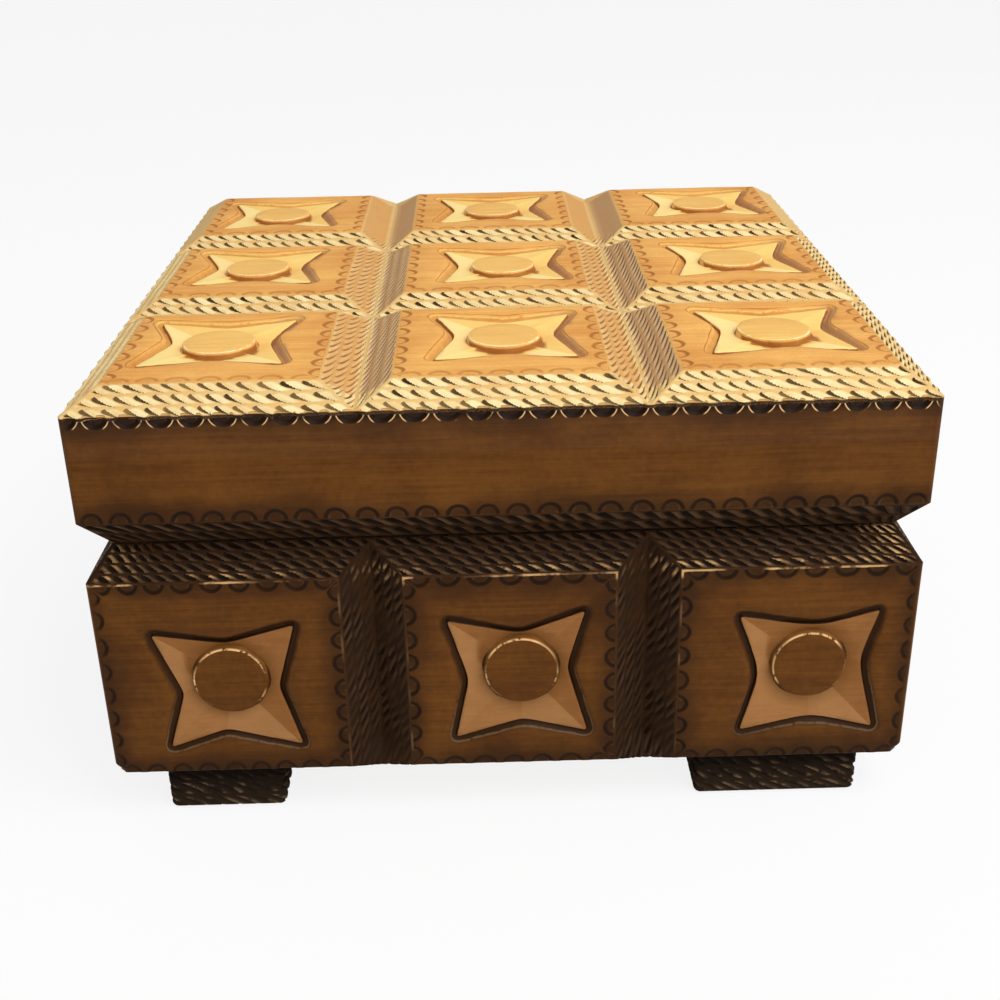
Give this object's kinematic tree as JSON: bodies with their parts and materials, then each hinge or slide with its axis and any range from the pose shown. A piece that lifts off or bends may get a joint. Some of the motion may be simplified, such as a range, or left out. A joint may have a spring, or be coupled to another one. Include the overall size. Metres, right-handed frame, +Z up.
{
  "type": "hinged wooden box",
  "caption": "Square carved wooden box on block feet, with a hinged lid of raised pads, four-pointed stars and rope-gouged bands.",
  "frame": {"origin": "centre of the footprint on the surface that the feet stand on", "axes": "+Z up, -Y towards the front, +X to the right seen from the front; the lid hinges at the back, +Y"},
  "size_m": [0.15, 0.15, 0.087],
  "materials": {
    "top_wood": "honey stain, satin varnish",
    "side_wood": "dark brown stain, satin varnish",
    "foot_wood": "near-black stain",
    "bare_wood": "planed, unvarnished",
    "brass": "dull brass"
  },
  "bodies": {
    "body": {"body_front_wall": "side_wood", "body_right_wall": "side_wood", "body_back_wall": "side_wood", "body_left_wall": "side_wood", "bottom_panel": "bare_wood", "foot_front_left": "foot_wood", "foot_back_left": "foot_wood", "foot_front_right": "foot_wood", "foot_back_right": "foot_wood", "hinge_left_body_leaf": "brass", "hinge_left_pin": "brass", "hinge_left_body_screw_1": "brass", "hinge_left_body_screw_2": "brass", "hinge_right_body_leaf": "brass", "hinge_right_pin": "brass", "hinge_right_body_screw_1": "brass", "hinge_right_body_screw_2": "brass"},
    "lid": {"lid_front_rail": "side_wood", "lid_right_rail": "side_wood", "lid_back_rail": "side_wood", "lid_left_rail": "side_wood", "lid_top_panel": "top_wood", "hinge_left_lid_leaf": "brass", "hinge_left_lid_screw_1": "brass", "hinge_left_lid_screw_2": "brass", "hinge_right_lid_leaf": "brass", "hinge_right_lid_screw_1": "brass", "hinge_right_lid_screw_2": "brass"}
  },
  "joints": [
    {"name": "lid_hinge", "type": "hinge", "parent": "body", "child": "lid", "pos_m": [0, 0.071, 0.057], "axis": [-1, 0, 0], "range_deg": [0, 105]}
  ]
}
